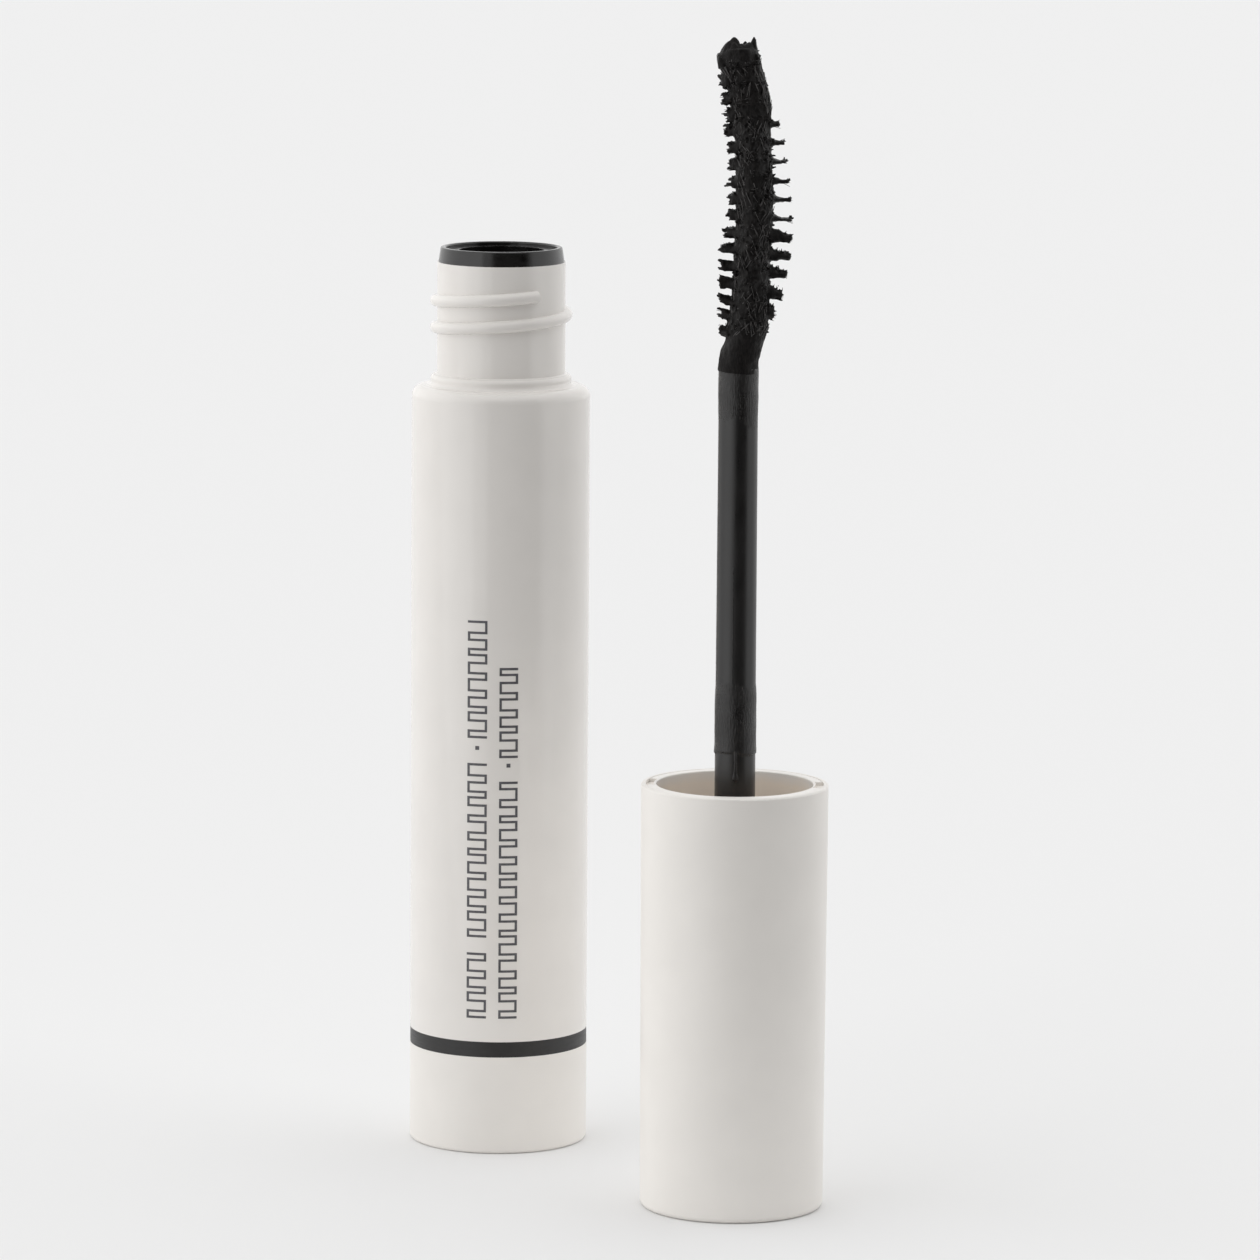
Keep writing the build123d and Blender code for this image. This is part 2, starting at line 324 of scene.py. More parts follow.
def soft_elastomer():
    """The wiper: smooth black elastomer with smears of product that dull it."""

    def linked(shader):
        smears = shader.noise(1.1, detail=5.0, roughness=0.6, stretch=(1, 1, 2.5))
        tone = shader.ramp(smears, [(0.35, shade(BLACK_PLASTIC, 0.7)), (0.7, shade(BLACK_PLASTIC, 1.5))])
        gloss = shader.spread(smears, 0.10, 0.24)
        skin = shader.bump(shader.noise(0.18, detail=2.0), 0.003)
        return {"Base Color": tone, "Roughness": gloss, "Normal": skin}

    return principled("soft_elastomer", {"Specular IOR Level": 0.6}, linked)


def wand_plastic():
    """The stem: black plastic with a thin, streaky film of product along it."""

    def linked(shader):
        film = shader.noise(1.4, detail=5.0, roughness=0.6, stretch=(1, 1, 0.35))
        tone = shader.ramp(film, [(0.3, shade(BLACK_PLASTIC, 0.8)), (0.7, shade(BLACK_PLASTIC, 1.25))])
        gloss = shader.spread(film, 0.27, 0.4)
        fine = shader.bump(shader.noise(0.25, detail=4.0, stretch=(1, 1, 0.5)), 0.003)
        return {"Base Color": tone, "Roughness": gloss, "Normal": fine}

    return principled("wand_plastic", {"Specular IOR Level": 0.55}, linked)


def product_paste(name, dry, wet, lump_mm, shine):
    """Mascara: near-black paste, fibrous and lumpy. dry and wet are its roughness in different places."""

    def linked(shader):
        lumps = shader.noise(lump_mm, detail=6.0, roughness=0.65)
        fibres = shader.noise(0.13, detail=3.0, stretch=(1, 1, 0.25))
        tone = shader.ramp(fibres, [(0.35, shade(PRODUCT, 0.7)), (0.72, shade(PRODUCT, 3.2))])
        gloss = shader.spread(shader.noise(2.6, detail=5.0), dry, wet, 0.42, 0.62)
        normal = shader.bump(fibres, 0.06, shader.bump(lumps, 0.06))
        return {"Base Color": tone, "Roughness": gloss, "Normal": normal}

    return principled(name, {"Specular IOR Level": shine}, linked)


def coated_fibre():
    """Bristles that show above the paste: thinly coated nylon, lighter where it is bare."""

    def linked(shader):
        coat = shader.noise(0.5, detail=4.0)
        tone = shader.ramp(coat, [(0.35, shade(FIBRE, 0.25)), (0.65, shade(FIBRE, 2.0))])
        return {"Base Color": tone, "Roughness": shader.spread(coat, 0.25, 0.42)}

    return principled("coated_fibre", {"Specular IOR Level": 0.6}, linked)


def foam_seal():
    """Foamed white disc with fine open cells, each painted darker in its hollow as shade."""

    def linked(shader):
        cells = shader.node("ShaderNodeTexVoronoi")
        cells.inputs["Scale"].default_value = 1 / (0.16 * MM)
        shader.join(shader.place(), cells.inputs["Vector"])
        distance = cells.outputs["Distance"]
        # Painted shade: each cell is darker towards its sunken middle.
        tone = shader.ramp(distance, [(0.0, (0.62, 0.60, 0.57)), (0.5, (0.80, 0.78, 0.75))])
        return {"Base Color": tone, "Normal": shader.bump(distance, 0.02)}

    return principled("foam_seal", {"Roughness": 0.7}, linked)


def print_ink():
    """Dark grey ink, slightly worn."""

    def linked(shader):
        wear = shader.noise(0.35, detail=4.0)
        tone = shader.ramp(wear, [(0.3, shade(INK, 0.9)), (0.72, shade(INK, 1.5))])
        return {"Base Color": tone, "Normal": shader.bump(wear, 0.002)}

    return principled("print_ink", {"Roughness": 0.42}, linked)


def twisted_steel():
    """Drawn steel wire, with fine lines along it."""

    def linked(shader):
        drawn = shader.noise(0.08, detail=3.0, stretch=(1, 1, 0.1))
        tone = shader.ramp(drawn, [(0.3, (0.40, 0.40, 0.41)), (0.7, (0.58, 0.58, 0.59))])
        return {"Base Color": tone, "Roughness": shader.spread(drawn, 0.22, 0.38)}

    return principled("twisted_steel", {"Metallic": 1.0}, linked)


PASTE = product_paste("mascara_paste", 0.65, 0.3, 0.6, 0.14)
DRIED = product_paste("dried_mascara", 0.42, 0.22, 1.6, 0.5)
FINISHES = {
    "bottle": moulded("bottle_gloss", WARM_WHITE, 0.10, 0.5, 0.0006),
    "base_cup": moulded("cup_satin", CAP_WHITE, 0.42, 0.09, 0.0022),
    "cap_shell": moulded("cap_satin", CAP_WHITE, 0.42, 0.09, 0.0022),
    "cap_liner": liner_plastic(),
    "colour_ring": satin_ring(),
    "wiper": soft_elastomer(),
    "mascara_fill": PASTE,
    "seal_washer": foam_seal(),
    "wand_stem": wand_plastic(),
    "brush_wire": twisted_steel(),
    "bristles": PASTE,
}


def dress_cad_nodes():
    for name, material in FINISHES.items():
        mesh = NODES[name].data
        mesh.materials.clear()
        mesh.materials.append(material)


dress_cad_nodes()


# ------------------------------------------------------------------------------------ mesh helpers
def make_piece(name, mesh, material, body):
    """Links a mesh as a piece that rides on a CAD body."""
    mesh.materials.clear()
    mesh.materials.append(material)
    piece = bpy.data.objects.new(name, mesh)
    SCENE.collection.objects.link(piece)
    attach(piece, body)
    return piece


def turns(sides):
    """Angles, in radians, of points evenly spaced around a ring."""
    return [2 * pi * step / sides for step in range(sides)]


def level_ring(centre, radius, sides, flatness=1.0):
    """Points around a level ring, squeezed along Y by flatness."""
    return [centre + radius * np.array([cos(turn), flatness * sin(turn), 0.0]) for turn in turns(sides)]


def tube_faces(rings, sides, first):
    """Quads between rings of vertices that each have the same number of sides."""
    faces = []
    for ring in range(rings - 1):
        for side in range(sides):
            after = (side + 1) % sides
            low = first + ring * sides
            faces.append((low + side, low + after, low + sides + after, low + sides + side))
    return faces


class Solid:
    """Collects closed shells as lists of points and faces."""

    def __init__(self):
        self.points = []
        self.faces = []

    def add_tube(self, rings):
        """A tube through rings of points, closed with a flat face at each end."""
        first = len(self.points)
        sides = len(rings[0])
        for ring in rings:
            self.points.extend(ring)
        self.faces.extend(tube_faces(len(rings), sides, first))
        last = first + (len(rings) - 1) * sides
        self.faces.append(tuple(first + side for side in reversed(range(sides))))
        self.faces.append(tuple(last + side for side in range(sides)))

    def mesh(self, name):
        made = bpy.data.meshes.new(name)
        made.from_pydata([tuple(p) for p in self.points], [], self.faces)
        made.validate()
        return made


def apply_modifier(mesh, kind, **values):
    """The mesh after one modifier."""
    holder = bpy.data.objects.new("holder", mesh)
    SCENE.collection.objects.link(holder)
    modifier = holder.modifiers.new(kind, kind)
    for name, value in values.items():
        setattr(modifier, name, value)
    bpy.context.view_layer.update()
    graph = bpy.context.evaluated_depsgraph_get()
    done = bpy.data.meshes.new_from_object(holder.evaluated_get(graph))
    bpy.data.objects.remove(holder)
    return done


def smooth_shade(mesh):
    mesh.polygons.foreach_set("use_smooth", [True] * len(mesh.polygons))


# ------------------------------------------------------------------------------------ brush
# The core is a lumpy mass of product around the twisted wire. It leans and bows like the real one:
# height, offset along X from the wand's axis, half width.
CORE = np.array(
    [
        (75.2, -0.04, 1.84),
        (76.3, 0.00, 1.78),
        (77.2, 0.25, 1.68),
        (78.0, 0.48, 1.68),
        (79.4, 0.75, 1.76),
        (80.6, 0.86, 1.64),
        (82.0, 0.95, 1.50),
        (85.0, 1.08, 1.46),
        (88.0, 1.20, 1.50),
        (90.5, 1.32, 1.56),
        (93.0, 1.22, 1.48),
        (95.4, 1.10, 1.44),
        (97.0, 0.98, 1.58),
        (98.6, 0.92, 1.70),
        (100.2, 0.58, 1.64),
        (101.7, 0.10, 1.66),
        (102.4, -0.08, 1.72),
        (103.0, -0.18, 1.80),
        (103.4, -0.22, 1.72),
        (103.7, -0.20, 1.48),
        (103.9, -0.16, 1.10),
    ]
)
# Half depth of the core, by height: product fills the brush in front and behind.
CORE_DEPTH = np.array(
    [(75.2, 1.80), (77.4, 1.80), (80.0, 2.15), (84.0, 2.30), (93.0, 2.30), (98.0, 2.05), (104.2, 1.20)]
)
# Reach of the bristles from the core's centre, by height.
REACH_RIGHT = np.array(
    [
        (77.8, 1.9),
        (79.4, 2.1),
        (80.8, 2.35),
        (82.4, 2.95),
        (84.0, 3.15),
        (86.0, 3.45),
        (89.0, 3.35),
        (92.0, 3.05),
        (95.0, 2.8),
        (97.0, 2.45),
        (98.6, 1.95),
        (104.2, 1.5),
    ]
)
REACH_LEFT = np.array(
    [
        (78.0, 2.45),
        (80.0, 2.70),
        (83.2, 2.95),
        (86.0, 2.72),
        (89.0, 2.46),
        (93.5, 2.30),
        (95.6, 2.42),
        (98.4, 2.50),
        (100.2, 2.45),
        (101.5, 2.22),
        (102.7, 1.85),
        (104.2, 1.70),
    ]
)
# Half thickness of the tufts on the left: above, product almost fills the slits between them.
TUFT_HALF = np.array([(77.8, 0.34), (83.0, 0.42), (93.0, 0.42), (97.0, 0.52), (104.0, 0.60)])
# Lowest row and distance between rows. The brush bows to the right, so its rows are further apart there.
ROWS_RIGHT = (77.32, 1.64)
ROWS_LEFT = (78.40, 1.52)
ROWS = 17
FIN_ROWS = range(2, 13)  # rows whose right side is free of the clump of product above and below
AROUND = [azimuth for azimuth in range(35, 326, 29) if not 140 < azimuth < 220]  # tufts front and back
AROUND_FROM = 78.8  # height of the lowest of them
RAGGED_BELOW = 88.0  # below this height the fins are thick and torn
CROWN_FROM = 102.0  # from here up, product has closed the brush

CORE_SIDES = 64
CORE_STEP = 0.2
CORE_LEAN_SPAN = 2.4  # the core's lean is averaged over this distance up and down
CORE_SWELLS = [(0.11, 1.3, 3), (0.07, 0.45, 9)]  # depth, size and seed of the lumps in its surface
CORE_CALM = 1.5  # the lumps reach their full depth at this height above the core's foot
# Peaks of the crown: azimuth in degrees from the right, distance from the crown's middle, height, base
# radius, lean outwards.
HORNS = [
    (178, 0.55, 104.80, 0.95, 0.0),
    (184, 1.00, 104.45, 0.90, 0.0),
    (4, 1.08, 104.82, 0.50, 0.12),
    (350, 0.60, 104.38, 0.85, 0.15),
    (280, 0.30, 104.28, 0.90, 0.1),
    (130, 0.7, 104.50, 0.7, 0.0),
    (225, 0.75, 104.36, 0.7, 0.0),
    (62, 0.9, 104.40, 0.6, 0.0),
]
CROWN_MIDDLE = np.array([-0.10, 0, 103.2])
HORN_SIDES = 8
HORN_RINGS = 7
HORN_TAPER = 0.6
HORN_TIP = 0.035

BLADE_SIDES = 12
BLADE_STEP = 0.12
BLADE_START = -0.45  # blades start inside the core
FIN_HALF_DEPTH = 0.5
TUFT_HALF_DEPTH = 0.6
TUFT_BRISTLES = 6  # in each clump of a tuft
LEFT_SPIKES = 9
STREAKS = 2400
STREAK_HEIGHTS = (78.6, 103.0)
STREAK_PATCH = 1.9  # size of the patches with and without fine streaks

# Radii of filaments, at the root and at the tip.
FIN_BRISTLE = (0.085, 0.06)
FIN_SPIKE = (0.1, 0.04)
FIN_TIP = (0.032, 0.02)
TUFT_BRISTLE = (0.125, 0.075)
TUFT_SPIKE = (0.1, 0.045)
TUFT_TIP = (0.03, 0.018)
COATED_STREAK = (0.075, 0.05)
FINE_STREAK = (0.05, 0.03)
FILAMENT_STATIONS = (0.0, 0.4, 0.75, 1.0)  # where a filament has rings, as shares of its length
COATED_SIDES = 6
FINE_SIDES = 5

VOXEL = 0.075
KEPT_FACES = 0.4  # share of the remeshed faces that are kept
SKIN_FIBRES = (0.04, (0.24, 0.24, 0.8))  # depth and size of the fibres in the product's skin
SKIN_CLOTS = (0.035, 0.5, 7)  # depth, size and shift along X of the clots in it
SKIN_CALM = 2.0  # they reach their full depth at this height above the core's foot
RNG = np.random.default_rng(7)
BACK = np.array([0.0, 1.0, 0.0])
STRAIGHT = np.zeros(3)


def along(table, height, column=1):
    return np.interp(height, table[:, 0], table[:, column])


def core_point(height):
    """The core's centre, its upward direction, and the sideways direction to the right."""
    span = CORE_LEAN_SPAN
    slope = (along(CORE, height + span) - along(CORE, height - span)) / (2 * span)
    up = np.array([slope, 0, 1.0])
    up /= np.linalg.norm(up)
    right = np.array([up[2], 0, -up[0]])
    return np.array([along(CORE, height), 0, height]), up, right


def core_radius(height, azimuth):
    """Distance from the core's centre to its surface. Azimuth is in radians from the right side."""
    width = along(CORE, height, 2)
    depth = along(CORE_DEPTH, height)
    return 1 / ((cos(azimuth) / width) ** 2 + (sin(azimuth) / depth) ** 2) ** 0.5


def lumps(point, size, seed):
    """Smooth noise, about -1 to 1, with features of the given size in millimetres."""
    return noise.noise(Vector(point) / size + Vector((seed, -seed, seed * 0.5)))


def core_rings():
    rings = []
    for height in np.arange(CORE[0, 0], CORE[-1, 0], CORE_STEP):
        centre, _, right = core_point(height)
        calm = min(1.0, (height - CORE[0, 0]) / CORE_CALM)
        ring = []
        for azimuth in turns(CORE_SIDES):
            out = cos(azimuth) * right + sin(azimuth) * BACK
            place = centre + core_radius(height, azimuth) * out
            swell = sum(depth * lumps(place, size, seed) for depth, size, seed in CORE_SWELLS)
            ring.append(place + swell * calm * out)
        rings.append(ring)
    return rings


def add_horns(solid):
    """The ragged crown: two peaks of product drawn up as the brush left the wiper, and lower ones."""
    for azimuth, distance, peak, base, lean in HORNS:
        angle = radians(azimuth)
        out = np.array([cos(angle), sin(angle), 0.0])
        root = CROWN_MIDDLE + out * distance
        rise = np.array([0, 0, peak - root[2]]) + out * lean
        rings = []
        for share in np.linspace(0, 1, HORN_RINGS):
            radius = base * (1 - share) ** HORN_TAPER + HORN_TIP
            rings.append(level_ring(root + rise * share, radius, HORN_SIDES))
        solid.add_tube(rings)


def add_filament(solid, start, end, radii, bend=STRAIGHT, sides=COATED_SIDES):
    """A tapered, slightly bent filament from start to end."""
    thick, thin = radii
    axis = (end - start) / np.linalg.norm(end - start)
    side = np.cross(axis, [0.3, 0.5, 0.8])
    side /= np.linalg.norm(side)
    other = np.cross(axis, side)
    rings = []
    for share in FILAMENT_STATIONS:
        centre = start + (end - start) * share + bend * share * share
        radius = thick + (thin - thick) * share
        rings.append([centre + radius * (cos(turn) * side + sin(turn) * other) for turn in turns(sides)])
    solid.add_tube(rings)


def add_blade(solid, height, toward, length, above, below, width, hollow, fillet):
    """A row's bristles on one side, drawn together by product; toward is 1 on the right, -1 on the left.

    The blade reaches above and below its middle line, and width in front of and behind it. Towards the
    core it swells by fillet, mostly on top, over the distance hollow.
    """
    centre, up, right = core_point(height)
    out = right * toward
    root = along(CORE, height, 2)
    rings = []
    for reach in np.append(np.arange(BLADE_START, length, BLADE_STEP), length):
        swell = np.exp(-max(reach, 0.0) / hollow)
        place = centre + out * (root + reach)
        top_edge = above * (1 + 0.75 * lumps(place, 0.35, 21)) + fillet * swell
        low_edge = below * (1 + 0.6 * lumps(place, 0.35, 27)) + 0.3 * fillet * swell
        half_depth = width * (1 + 0.2 * lumps(place, 0.7, 31)) + 0.55 * swell
        middle = place + up * (top_edge - low_edge) / 2
        half_height = (top_edge + low_edge) / 2
        ring = []
        for turn in turns(BLADE_SIDES):
            ring.append(middle + cos(turn) * half_depth * BACK + sin(turn) * half_height * up)
        rings.append(ring)
    solid.add_tube(rings)


def spike_place(root, limit, ragged):
    """How far out a spike stands on a fin, and the height of the fin's upper edge there."""
    if ragged:
        reach = limit - RNG.uniform(0.0, 1.5)
        return reach, 0.22 + 0.85 * np.exp((root - reach) / 0.9)
    return limit - abs(RNG.normal(0.03, 0.14)), 0.2


def add_fin(coated, free, height):
    """A long thin blade on the right, with the bristles' tips showing at its outer edge."""
    centre, up, right = core_point(height)
    root = along(CORE, height, 2)
    limit = along(REACH_RIGHT, height)
    ragged = height < RAGGED_BELOW
    length = limit - root - 0.12
    if ragged:
        add_blade(coated, height, 1, length, RNG.uniform(0.20, 0.30), 0.20, FIN_HALF_DEPTH, 0.9, 0.85)
    else:
        add_blade(coated, height, 1, length, RNG.uniform(0.11, 0.15), 0.13, FIN_HALF_DEPTH, 0.42, 0.62)
    for _ in range(18 if ragged else 11):
        depth = RNG.uniform(-0.55, 0.55)
        lift = RNG.normal(0.04, 0.2 if ragged else 0.06)
        start = centre + right * (root - 0.3) + BACK * depth * 0.8 + up * lift * 0.5
        end = centre + right * (limit + RNG.normal(-0.05, 0.11)) + BACK * depth + up * lift
        add_filament(coated, start, end, FIN_BRISTLE, up * RNG.normal(0.03, 0.07))
    for _ in range(14 if ragged else 3):
        depth = RNG.uniform(-0.4, 0.4)
        reach, crest = spike_place(root, limit, ragged)
        start = centre + right * (reach - 0.12) + BACK * depth
        end = centre + right * (reach + RNG.normal(0.02, 0.07)) + BACK * depth
        end = end + up * (crest + RNG.uniform(0.1, 0.34 if ragged else 0.26))
        add_filament(coated, start, end, FIN_SPIKE)
    for _ in range(6 if ragged else 3):
        depth = RNG.uniform(-0.5, 0.5)
        lift = RNG.normal(0.02, 0.2)
        start = centre + right * (limit - 0.9) + BACK * depth
        end = centre + right * (limit + RNG.uniform(0.0, 0.1)) + BACK * depth + up * lift
        add_filament(free, start, end, FIN_TIP, up * RNG.normal(0, 0.08), FINE_SIDES)


def add_tuft(coated, free, height, turn, limit, clumps, spread):
    """A short bushy tuft: small clumps of bristles that fan out in height."""
    centre, up, right = core_point(height)
    out = cos(turn) * right + sin(turn) * BACK
    across = np.cross(up, out)
    root = core_radius(height, turn)
    rise = max(0.0, RAGGED_BELOW - height) * 0.03 * (limit - root)
    for clump in range(clumps):
        lift = spread * ((clump + 0.5) / clumps - 0.5) + RNG.normal(0, 0.05)
        reach = limit + RNG.normal(-0.1, 0.13)
        clump_across = RNG.normal(0, 0.12)
        for _ in range(TUFT_BRISTLES):
            offset = across * RNG.uniform(-0.75, 0.75) + up * RNG.normal(0, 0.05)
            start = centre + out * (root - 0.35) + up * lift * 0.9 + offset
            end = centre + out * (reach + RNG.normal(0, 0.08)) + up * (lift * 1.05 + rise)
            end = end + offset * 0.75 + across * clump_across
            add_filament(coated, start, end, TUFT_BRISTLE, up * RNG.normal(0, 0.05))
        for _ in range(2):
            start = centre + out * (root - 0.1) + up * lift + across * RNG.normal(0, 0.3)
            tip = reach + RNG.uniform(0.02, 0.14)
            end = centre + out * tip + up * (lift + rise + RNG.normal(0, 0.1))
            add_filament(free, start, end, TUFT_TIP, across * RNG.normal(0, 0.1), FINE_SIDES)


def add_left_tuft(coated, free, height):
    """A thick ragged tuft on the left, with spikes on its upper side."""
    centre, up, right = core_point(height)
    root = along(CORE, height, 2)
    limit = along(REACH_LEFT, height)
    half = along(TUFT_HALF, height)
    length = max(0.2, limit - root - RNG.uniform(0.2, 0.4))
    add_blade(coated, height, -1, length, half - 0.04, half - 0.04, TUFT_HALF_DEPTH, 0.35, 0.18)
    add_tuft(coated, free, height, pi, limit, 4, 2 * half)
    if height > CROWN_FROM:
        return
    for _ in range(LEFT_SPIKES):
        start = centre - right * (root + RNG.uniform(0.1, length)) + BACK * RNG.uniform(-0.45, 0.45)
        end = start - right * RNG.uniform(0.0, 0.3) + up * (half + RNG.uniform(0.05, 0.24))
        add_filament(coated, start, end, TUFT_SPIKE)


def row_height(row, turn):
    """Height of a row at an azimuth. The rows are two helices, which shift by one row in half a turn."""
    right = ROWS_RIGHT[0] + row * ROWS_RIGHT[1]
    left = ROWS_LEFT[0] + row * ROWS_LEFT[1]
    share = (1 - cos(turn)) / 2
    return right + (left - right) * share - ROWS_LEFT[1] * (turn / pi % 1)


def add_rows(coated, free):
    for row in range(ROWS):
        if row in FIN_ROWS:
            add_fin(coated, free, row_height(row, 0.0) + RNG.normal(0, 0.05))
        add_left_tuft(coated, free, row_height(row, pi) + RNG.normal(0, 0.05))
        for azimuth in AROUND:
            turn = radians(azimuth)
            height = row_height(row, turn)
            if height > AROUND_FROM:
                stub = core_radius(height, turn) + RNG.uniform(0.10, 0.24)
                add_tuft(coated, free, height, turn, stub, 3, 0.8)


def add_streaks(coated, free):
    """Bristles that product laid down on the core, mostly steep, crossing in shallow Vs."""
    for index in range(STREAKS):
        height = RNG.uniform(*STREAK_HEIGHTS)
        turn = RNG.uniform(0, 2 * pi)
        fine = index % 2
        if fine and lumps((2.2 * cos(turn), 2.2 * sin(turn), height), STREAK_PATCH, 51) < -0.08:
            continue
        length = RNG.uniform(0.6, 1.7) if fine else RNG.uniform(0.35, 0.9)
        slant = RNG.choice((-1, 1)) * RNG.uniform(0.15, 0.7)
        proud = (-0.02, RNG.uniform(0.08, 0.22)) if fine else (0.03, RNG.uniform(0.03, 0.14))
        ends = []
        for share, stand in zip((-0.5, 0.5), proud):
            at = height + share * length * cos(slant)
            there = turn + share * length * sin(slant) / 2.0
            centre, _, right = core_point(at)
            out = cos(there) * right + sin(there) * BACK
            ends.append(centre + out * (core_radius(at, there) + stand))
        if fine:
            add_filament(free, *ends, FINE_STREAK, sides=FINE_SIDES)
        else:
            add_filament(coated, *ends, COATED_STREAK, sides=FINE_SIDES)


def rough_up(mesh):
    """Moves the product's surface in and out a little: fine fibres along it and small clots."""
    count = len(mesh.vertices)
    places = np.zeros(count * 3, np.float32)
    normals = np.zeros(count * 3, np.float32)
    mesh.vertices.foreach_get("co", places)
    mesh.vertices.foreach_get("normal", normals)
    places = places.reshape(-1, 3)
    normals = normals.reshape(-1, 3)
    moves = np.zeros(count, np.float32)
    fibre_depth, (fibre_x, fibre_y, fibre_z) = SKIN_FIBRES
    clot_depth, clot_size, clot_shift = SKIN_CLOTS
    for index, (x, y, z) in enumerate(places):
        fibres = noise.noise(Vector((x / fibre_x, y / fibre_y, z / fibre_z)))
        clots = noise.noise(Vector((x / clot_size + clot_shift, y / clot_size, z / clot_size)))
        calm = min(1.0, max(0.0, (z - CORE[0, 0]) / SKIN_CALM))
        moves[index] = calm * (fibre_depth * fibres + clot_depth * clots)
    places += normals * moves[:, None]
    mesh.vertices.foreach_set("co", places.ravel())


def put_on_wand(mesh):
    """From millimetres about the wand's axis to metres in the scene."""
    mesh.transform(Matrix.Scale(MM, 4) @ Matrix.Translation((WAND_X, WAND_Y, 0)))
    mesh.update()


def build_brush():
    """The coated brush as one skin, and the bare bristles that stand out of it as a piece of their own."""
    coated = Solid()
    free = Solid()
    coated.add_tube(core_rings())
    add_horns(coated)
    add_rows(coated, free)
    add_streaks(coated, free)
    brush = apply_modifier(coated.mesh("coated"), "REMESH", mode="VOXEL", voxel_size=VOXEL, adaptivity=0.0)
    brush.update()
    rough_up(brush)
    brush = apply_modifier(brush, "DECIMATE", ratio=KEPT_FACES)
    brush.name = "brush_bristles"
    fibres = free.mesh("brush_fibres")
    for mesh in (brush, fibres):
        smooth_shade(mesh)
        put_on_wand(mesh)
    piece = make_piece("brush_bristles", brush, PASTE, "applicator")
    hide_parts("bristles")
    make_piece("brush_fibres", fibres, coated_fibre(), "applicator")


build_brush()


# ------------------------------------------------------------------------------------ residue on the stem
BAND_LOW = (41.2, 47.6)  # heights of the two bands of dried product that the wiper left on the stem
BAND_HIGH = (69.8, STEM_TOP - 0.35)
FILM_HIDDEN = -0.04  # where there is no film, its surface runs under the stem's
RESIDUE_SIDES = 72
RESIDUE_STEP = 0.2
FILM_INSIDE = 0.2  # how far under the stem's surface the film's inner wall lies
RUN_X = -0.32  # a thin run of product down the front of the stem
RUN_HEIGHTS = (BAND_LOW[1] - 2.0, 58.0)
DRIP_HEIGHTS = (38.7, 41.5)
RUN_RINGS = 40
RUN_SIDES = 12
RUN_FLATNESS = 0.55


def stem_radius(height):
    share = (height - CAP_TOP) / (STEM_TOP - CAP_TOP)
    return STEM_R_ROOT + (STEM_R_TOP - STEM_R_ROOT) * share


def film(place, azimuth):
    """Height of the dried film's surface above the stem, at a place on it."""
    height = place[2]
    wander = 0.14 * lumps((cos(azimuth), sin(azimuth), 0.0), 0.9, 5)
    low_edge = height - BAND_LOW[0] - wander
    high_edge = BAND_LOW[1] - height + 3 * wander
    if low_edge > 0 and high_edge > 0:
        rim = 0.05 * np.exp(-low_edge / 0.35)
        fade = min(1.0, high_edge / 1.2)
        return (0.035 + 0.02 * lumps(place, 1.2, 13)) * fade + rim - FILM_HIDDEN * (fade - 1)
    if height > BAND_HIGH[0] + 4 * wander:
        rise = min(1.0, (height - BAND_HIGH[0] - 4 * wander) / 2.5)
        return (0.03 + 0.03 * lumps(place, 1.1, 17)) * rise - FILM_HIDDEN * (rise - 1)
    return FILM_HIDDEN


def stem_ring(height, radius_at):
    """Points around the stem's axis, at the radius that a function gives for each."""
    ring = []
    for azimuth in turns(RESIDUE_SIDES):
        out = np.array([cos(azimuth), sin(azimuth), 0.0])
        ring.append(out * radius_at(height, azimuth, out) + np.array([0, 0, height]))
    return ring


def add_film(solid, low, high):
    """A closed sleeve of film around the stem."""

    def outside(height, azimuth, out):
        radius = stem_radius(height)
        return radius + film(out * radius + np.array([0, 0, height]), azimuth)

    def inside(height, azimuth, out):
        return stem_radius(height) - FILM_INSIDE

    heights = np.arange(low, high, RESIDUE_STEP)
    rings = [stem_ring(heights[0], inside)]
    rings += [stem_ring(height, outside) for height in heights]
    rings.append(stem_ring(heights[-1], inside))
    first = len(solid.points)
    for ring in rings:
        solid.points.extend(ring)
    solid.faces.extend(tube_faces(len(rings), RESIDUE_SIDES, first))
    last = first + (len(rings) - 1) * RESIDUE_SIDES
    for side in range(RESIDUE_SIDES):
        after = (side + 1) % RESIDUE_SIDES
        solid.faces.append((last + side, last + after, first + after, first + side))


def add_run(solid, x, low, high, width, swell):
    """A run of product down the front of the stem, thicker towards its lower end."""
    rings = []
    for height in np.linspace(low, high, RUN_RINGS):
        share = (height - low) / (high - low)
        bead = width * (1 + swell * np.exp(-((share - 0.12) / 0.16) ** 2)) * min(1.0, 0.25 + 9 * share)
        across = x + 0.02 * lumps((0, 0, height), 1.5, 43)
        depth = (stem_radius(height) ** 2 - across * across) ** 0.5
        centre = np.array([across, -depth, height])
        rings.append(level_ring(centre, bead, RUN_SIDES, RUN_FLATNESS))
    solid.add_tube(rings)


def build_residue():
    """Dried product on the stem: two bands, a thin run between them and a drip below."""
    solid = Solid()
    add_film(solid, BAND_LOW[0] - 0.4, BAND_LOW[1] + 0.8)
    add_film(solid, BAND_HIGH[0] - 0.8, BAND_HIGH[1])
    add_run(solid, RUN_X, *RUN_HEIGHTS, 0.05, 0.6)
    add_run(solid, 0.0, *DRIP_HEIGHTS, 0.15, 0.9)
    mesh = solid.mesh("stem_residue")
    smooth_shade(mesh)
    put_on_wand(mesh)
    make_piece("stem_residue", mesh, DRIED, "applicator")


build_residue()


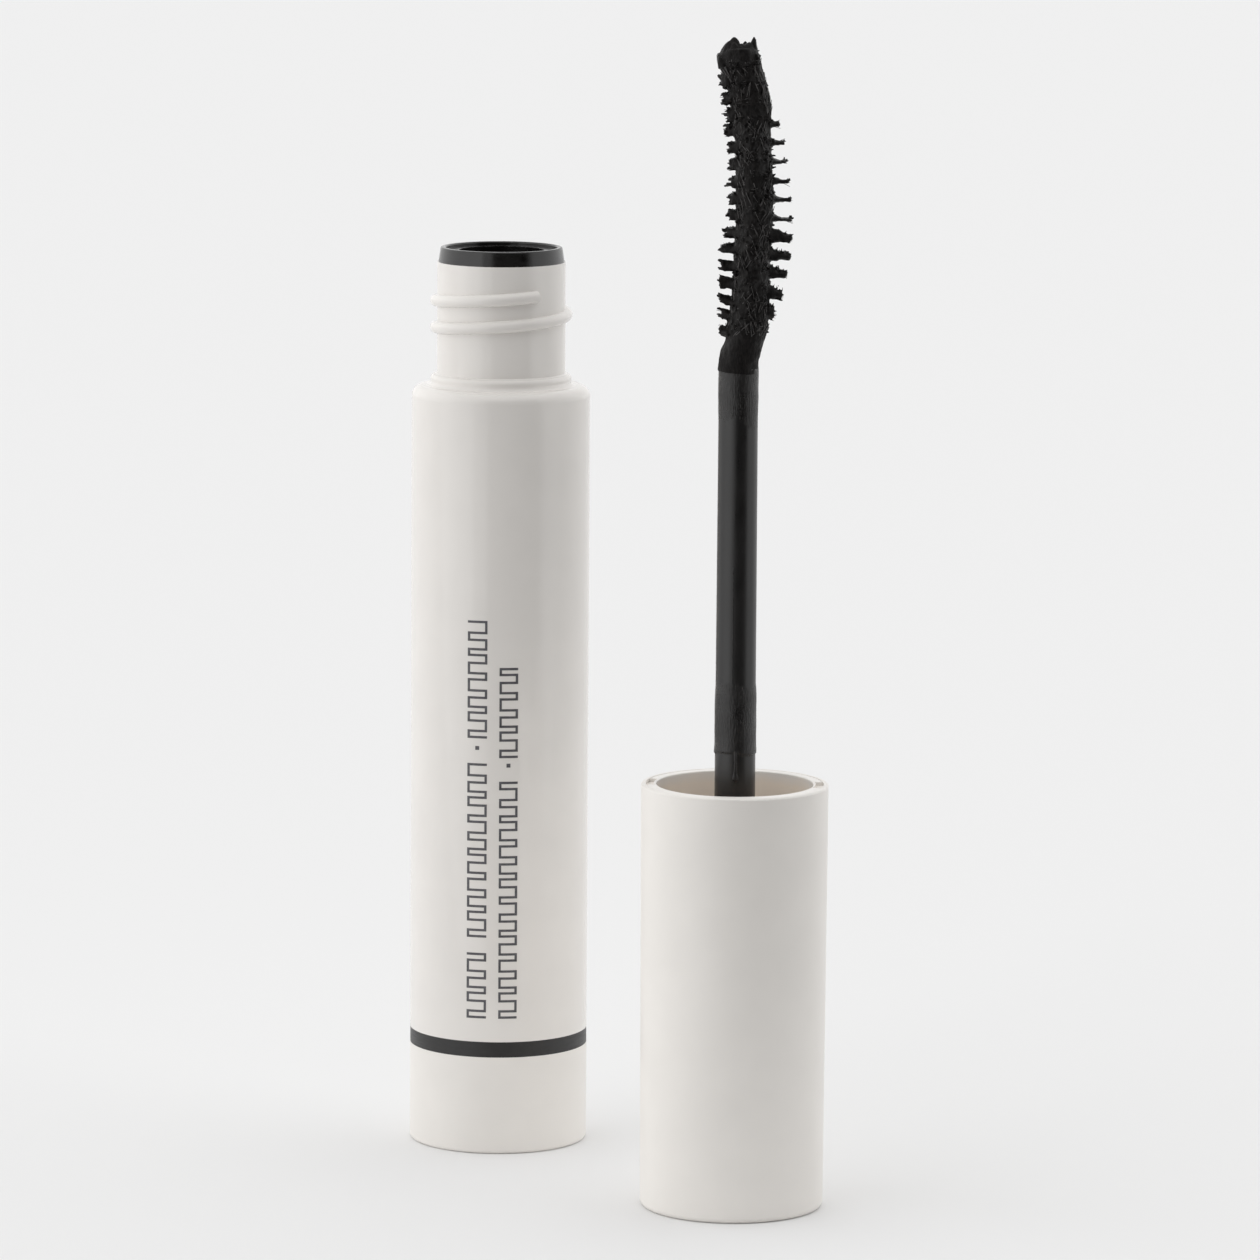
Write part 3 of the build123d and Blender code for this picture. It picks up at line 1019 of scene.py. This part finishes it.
# ------------------------------------------------------------------------------------ print
# A plain meander in two columns stands in for the printed words, with the words' places and weight.
INK_LIFT = 0.012  # height of the ink above the wall
INK_SUNK = 0.02  # depth of the bars' hidden side inside the wall
BAR_STEP = 0.2
STROKE = 0.22
MEANDER_STEPS = (0.58, 0.95, 0.74, 0.54, 0.86, 0.66, 1.02)  # gaps between strokes, in turn
PRINT_RUNS = [
    # centre along X, width, lowest and highest stroke
    (-1.90, 1.80, 12.8, 18.9),
    (-1.90, 1.80, 20.4, 37.0),
    (-1.90, 1.80, 39.0, 50.2),
    (0.98, 1.70, 12.8, 35.6),
    (0.98, 1.70, 37.2, 45.8),
]
PRINT_DOTS = [(-1.90, 38.1), (0.98, 36.5)]
DOT_SIDE = 0.36


def add_bar(solid, x, width, z, height):
    """A bar of ink on the bottle's front, centred at x, that follows the round wall."""
    steps = max(1, round(width / BAR_STEP))
    corners = ((-INK_SUNK, 0), (INK_LIFT, 0), (INK_LIFT, height), (-INK_SUNK, height))
    rings = []
    for step in range(steps + 1):
        sine = (x - width / 2 + width * step / steps) / BOTTLE_R
        cosine = (1 - sine * sine) ** 0.5
        ring = []
        for out, lift in corners:
            radius = BOTTLE_R + out
            ring.append(np.array([radius * sine, -radius * cosine, z + lift]))
        rings.append(ring)
    solid.add_tube(rings)


def add_meander(solid, x, width, low, high):
    """Strokes across a column, joined at alternate ends."""
    z = low
    stroke = 0
    while z < high:
        add_bar(solid, x, width, z, STROKE)
        step = MEANDER_STEPS[stroke % len(MEANDER_STEPS)]
        if z + step < high:
            side = 1 if stroke % 2 else -1
            add_bar(solid, x + side * (width - STROKE) / 2, STROKE, z, step)
        z += step
        stroke += 1


def build_print():
    solid = Solid()
    for run in PRINT_RUNS:
        add_meander(solid, *run)
    for x, z in PRINT_DOTS:
        add_bar(solid, x, DOT_SIDE, z - DOT_SIDE / 2, DOT_SIDE)
    mesh = solid.mesh("print_marks")
    mesh.transform(Matrix.Scale(MM, 4))
    make_piece("print_marks", mesh, print_ink(), "bottle")


build_print()
